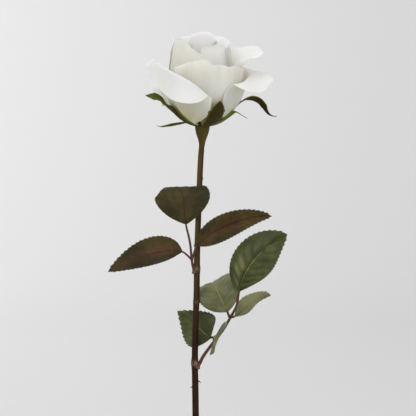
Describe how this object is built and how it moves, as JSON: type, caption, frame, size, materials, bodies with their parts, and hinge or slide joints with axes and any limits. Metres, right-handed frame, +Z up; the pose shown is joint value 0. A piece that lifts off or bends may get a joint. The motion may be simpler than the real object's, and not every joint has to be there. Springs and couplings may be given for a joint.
{
  "type": "rose in a bud vase",
  "caption": "Single white cut rose with curled guard petals, a green calyx and two compound leaves on a long stem, standing in a plain glazed ceramic bud vase.",
  "frame": {"origin": "centre of the vase's flat foot, on the surface that it stands on", "axes": "+Z up along the vase and stem; the bloom looks towards -Y; +X to the right seen from the front"},
  "size_m": [0.1363, 0.0921, 0.4734],
  "materials": {
    "glaze": "satin off-white glaze",
    "stem_bark": "smooth green-brown bark with red-brown flush",
    "hip": "dull green-brown",
    "petal": "soft matte ivory white",
    "sepal": "dark olive, paler at the edges",
    "leaf_upper": "satin dark olive flushed with red-brown along the veins",
    "leaf_lower": "satin grey-green",
    "leaf_stalk": "red-brown"
  },
  "bodies": {
    "root": {"hip": "hip", "leaf_stalk_lower": "leaf_stalk", "leaf_stalk_upper": "leaf_stalk", "leaflet_low_left": "leaf_lower", "leaflet_low_right": "leaf_lower", "leaflet_lower_end": "leaf_lower", "leaflet_lower_left": "leaf_lower", "leaflet_lower_right": "leaf_lower", "leaflet_upper_left": "leaf_upper", "leaflet_upper_middle": "leaf_upper", "leaflet_upper_right": "leaf_upper", "petal_cup_back_left": "petal", "petal_cup_back_right": "petal", "petal_cup_front": "petal", "petal_cup_left": "petal", "petal_cup_right": "petal", "petal_guard_back_left": "petal", "petal_guard_back_right": "petal", "petal_guard_left": "petal", "petal_guard_right": "petal", "petal_heart_back": "petal", "petal_heart_left": "petal", "petal_heart_right": "petal", "petal_inner_back": "petal", "petal_inner_front": "petal", "petal_inner_left": "petal", "petal_inner_right": "petal", "petal_middle_back": "petal", "petal_middle_far_left": "petal", "petal_middle_far_right": "petal", "petal_middle_left": "petal", "petal_middle_right": "petal", "sepal_back_left": "sepal", "sepal_back_right": "sepal", "sepal_front": "sepal", "sepal_left": "sepal", "sepal_low_left": "sepal", "sepal_right": "sepal", "stem": "stem_bark", "vase": "glaze"}
  },
  "joints": []
}
